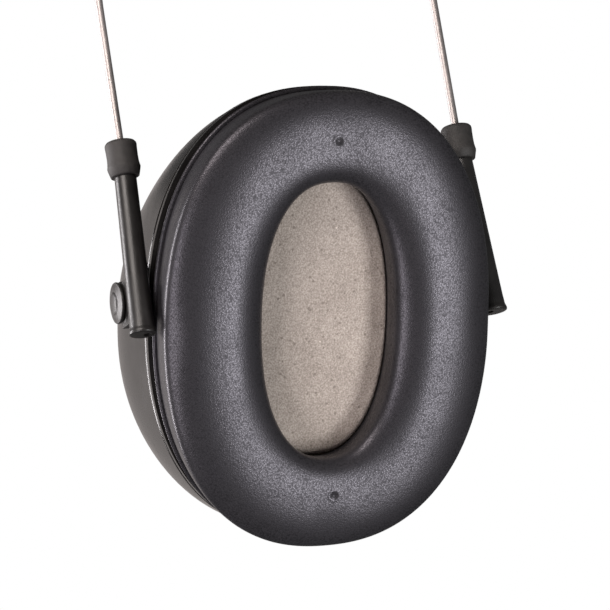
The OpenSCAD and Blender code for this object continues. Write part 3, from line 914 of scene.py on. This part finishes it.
def head_pad():
    """The sewn head pad: an inflated cover with two seams, their stitches, and a piped edge."""
    crowded = 0.9 * math.pi / 2  # the rings stand closer together towards both ends
    angles = np.sin(np.linspace(-crowded, crowded, 110)) / math.sin(crowded) * PAD_REACH
    rings = pad_rings(angles)
    points, faces = skin([in_band(r) for r in rings])
    obj = mesh_from("head_pad_sewn_cover", points, faces, sharp=80)
    angle, y, _ = rings.reshape(-1, 3).T
    sewn = np.array([SEAMS[1], PAD_W / 2])
    at_seam = np.min(np.abs(np.abs(y)[:, None] - sewn), axis=1) < 0.8
    at_end = np.abs(angle) > angles[-3]
    inflate(obj, np.where(at_seam | at_end)[0], rings.shape[:2], pressure=20, cap=1.3)
    subdivided(obj)
    obj.data.shade_smooth()
    finished(obj, "headband", "pad_skin", PAD_SKIN, "head_pad_cover", "head_pad_foam")

    surface = BVHTree.FromObject(obj, bpy.context.evaluated_depsgraph_get())
    stitches = mesh_from("head_pad_stitches", *sewn_rows(surface, angles[-1] - 0.06), sharp=180)
    finished(stitches, "headband", "pad_skin", THREAD_MAT)
    pad_piping()


def sewn_rows(surface, reach, pitch=3.4, length=2.3, radius=0.28):
    """Short rounded stitches laid on both sides of the pad along each seam."""
    radii = [radius * 0.5, radius * 0.95, radius, radius * 0.95, radius * 0.5]
    count = int(2 * reach * BAND_R / pitch)
    parts = []
    for seam, side in [(seam, side) for seam in SEAMS for side in (1, -1)]:
        for k in range(count + 1):
            ends = []
            for shift in np.linspace(-0.5, 0.5, 5):
                angle = -reach + 2 * reach * k / count + shift * length / BAND_R
                origin = Vector(in_band([(angle, seam, PAD_MID_R + side * 15)])[0] * MM)
                middle = Vector(in_band([(angle, seam, PAD_MID_R)])[0] * MM)
                hit, normal, _, _ = surface.ray_cast(origin, (middle - origin).normalized())
                if hit is None:
                    break
                raised = 0.05 - 0.45 * (2 * abs(shift)) ** 4
                ends.append(np.array(hit / MM) + np.array(normal) * raised)
            if len(ends) == 5:
                parts.append(tube_along(ends, radii, 6))
    return joined(*parts)


def pad_piping():
    """The piped seam round the pad's edge."""
    radius, corner = 0.9, 8.0
    half_y, half_l = PAD_W / 2 - 0.2, PAD_REACH * BAND_R - 0.2
    outline = rounded([(-half_l, -half_y), (half_l, -half_y), (half_l, half_y), (-half_l, half_y)],
                      corner, 12)
    dense = []
    for p, q in zip(outline, np.roll(outline, -1, axis=0)):
        steps = max(1, int(np.linalg.norm(q - p) / 2.0))
        dense += [p + (q - p) * k / steps for k in range(steps)]
    dense = np.array(dense)
    turn = np.linspace(0, 2 * math.pi, 10, endpoint=False)
    rings = [in_band([((along + n[0] * math.cos(t) * radius) / BAND_R, y + n[1] * math.cos(t) * radius,
                       PAD_MID_R + radius * math.sin(t)) for t in turn])
             for (along, y), n in zip(dense, outward(dense))]
    points, faces = skin(rings, wrap=True)
    obj = mesh_from("head_pad_piping", points, faces, sharp=80)
    finished(obj, "headband", "pad_skin", PAD_SKIN)


# ---------------------------------------------------------------- the object

for side in SIDES:
    cup_shell(side)
    cushion_plate(side)
    ear_cushion(side)
    foam_liner(side)
    wire_bridge(side)
    for name, end in ENDS:
        pivot_pin(side, name, end)
        arm(side, name, end)
        arm_cap(side, name, end)
        half_wire(side, name, end)
head_pad()


# ---------------------------------------------------------------- studio

def direction(x, y, z):
    """A direction given in the left cup's frame: towards the head, to the front, up the cup."""
    c, s = math.cos(CUP_TILT), math.sin(CUP_TILT)
    return Vector((x * c + z * s, y, z * c - x * s))


def aim(obj, back, up):
    """Turns a camera or a lamp so that its back points one way and its top another."""
    back = back.normalized()
    right = up.cross(back).normalized()
    obj.matrix_world = Matrix((right, back.cross(right), back)).transposed().to_4x4()


FACE_CENTRE = Vector(in_cup("left", [(FACE_X, 0, -CUP_DROP)])[0]) * MM

camera = bpy.data.objects.new("camera", bpy.data.cameras.new("camera"))
bpy.context.scene.collection.objects.link(camera)
bpy.context.scene.camera = camera
DISTANCE, YAW, PITCH, ROLL = 0.8635, math.radians(20.7), math.radians(11.7), math.radians(0.75)
LEFT_OF_CENTRE, ABOVE_CENTRE = 0.00712, 0.0046
back = direction(math.cos(PITCH) * math.cos(YAW), -math.cos(PITCH) * math.sin(YAW), math.sin(PITCH))
level = direction(math.sin(YAW), math.cos(YAW), 0)
right = level * math.cos(ROLL) + back.cross(level) * math.sin(ROLL)
up = back.cross(right)
camera.matrix_world = Matrix((right, up, back)).transposed().to_4x4()
camera.location = FACE_CENTRE + back * DISTANCE - right * LEFT_OF_CENTRE + up * ABOVE_CENTRE
camera.data.sensor_width = 36
camera.data.lens = 218.6
# The near cup stands between the camera and the cup that the view is of, so the view starts
# between the two.
camera.data.clip_start = camera.location.dot(back)
camera.data.clip_end = 10

FLOOR_R, FLOOR_Z = 1400.0, -300.0
turn = np.linspace(0, 2 * math.pi, 96, endpoint=False)
rings = [[(r * math.cos(t), r * math.sin(t), FLOOR_Z - drop) for t in turn]
         for r, drop in ((FLOOR_R, 12), (FLOOR_R, 1), (FLOOR_R - 1, 0),
                         (FLOOR_R * 0.5, 0), (FLOOR_R * 0.02, 0))]
floor = mesh_from("floor", *skin(rings), sharp=60)
floor.data.materials.append(paper("floor_paper"))
floor.visible_diffuse = floor.visible_glossy = False  # it throws no light back on the object


def group_of(name, objects, state):
    """A collection for light linking, with its objects in the state INCLUDE or EXCLUDE."""
    collection = bpy.data.collections.new(name)
    for o in objects:
        collection.objects.link(o)
    for item in collection.collection_objects:
        item.light_linking.link_state = state
    return collection


# The right side is the one nearer to the camera.
near = [o for o in bpy.data.objects if o.type == "MESH" and o.name.startswith("right_")]
far = [o for o in bpy.data.objects if o.type == "MESH" and o.name.startswith("left_")]


def softbox(name, towards, distance, size, power, colour=(1, 1, 1)):
    """A soft rectangular light aimed at the object. The cup nearer to the camera doesn't shade the other:
    each light is made twice, one lamp for the right side alone and one for everything else. The floor
    has its own even light, and stands in the way of none of these."""
    spot = FACE_CENTRE + direction(*towards).normalized() * distance
    for suffix, lit, lit_state, shade in (("far", near + [floor], "EXCLUDE", near + [floor]),
                                          ("near", near, "INCLUDE", far + [floor])):
        data = bpy.data.lights.new(f"{name}_{suffix}", "AREA")
        data.shape = "RECTANGLE"
        data.size, data.size_y = size
        data.energy = power
        data.color = colour
        lamp = bpy.data.objects.new(f"{name}_{suffix}", data)
        bpy.context.scene.collection.objects.link(lamp)
        aim(lamp, spot - FACE_CENTRE, Vector((0, 0, 1)))
        lamp.location = spot
        lamp.light_linking.receiver_collection = group_of(f"{name}_{suffix}_lit", lit, lit_state)
        lamp.light_linking.blocker_collection = group_of(f"{name}_{suffix}_free", shade, "EXCLUDE")
        lamp.visible_camera = False


def floor_light(strength):
    """An even light from above, with soft shadows, that only the floor takes."""
    data = bpy.data.lights.new("floor_light", "SUN")
    data.energy, data.angle = strength, math.radians(25)
    lamp = bpy.data.objects.new("floor_light", data)
    bpy.context.scene.collection.objects.link(lamp)
    lamp.light_linking.receiver_collection = group_of("floor_light_lit", [floor], "INCLUDE")


floor_light(2.3)
softbox("key", (0.88, 0.42, -0.14), 0.9, (0.26, 0.42), 6.6)
softbox("backdrop", (-0.92, -0.15, -0.36), 1.2, (2.0, 1.0), 3.0, (1.0, 0.90, 0.86))
softbox("left_back", (-0.55, -0.81, -0.2), 0.9, (0.25, 0.8), 12, (1.0, 0.96, 0.97))
softbox("left_front", (0.60, -0.77, -0.15), 0.9, (0.4, 0.6), 5.5, (1.0, 0.95, 0.97))
softbox("top_left", (0.35, -0.6, 0.7), 0.9, (0.5, 0.4), 7, (1.0, 0.92, 0.87))


def studio_world():
    """A faint even light on the object, and a white background behind it."""
    world = bpy.data.worlds.new("studio")
    bpy.context.scene.world = world
    world.use_nodes = True
    tree = world.node_tree
    ambient = tree.nodes["Background"]
    backdrop = tree.nodes.new("ShaderNodeBackground")
    for background, strength in ((ambient, 0.1), (backdrop, 1.0)):
        background.inputs["Color"].default_value = (1, 1, 1, 1)
        background.inputs["Strength"].default_value = strength
    seen = tree.nodes.new("ShaderNodeLightPath")
    mix = tree.nodes.new("ShaderNodeMixShader")
    tree.links.new(seen.outputs["Is Camera Ray"], mix.inputs["Fac"])
    tree.links.new(ambient.outputs["Background"], mix.inputs[1])
    tree.links.new(backdrop.outputs["Background"], mix.inputs[2])
    tree.links.new(mix.outputs["Shader"], tree.nodes["World Output"].inputs["Surface"])


studio_world()
bpy.context.scene.view_settings.view_transform = "Standard"
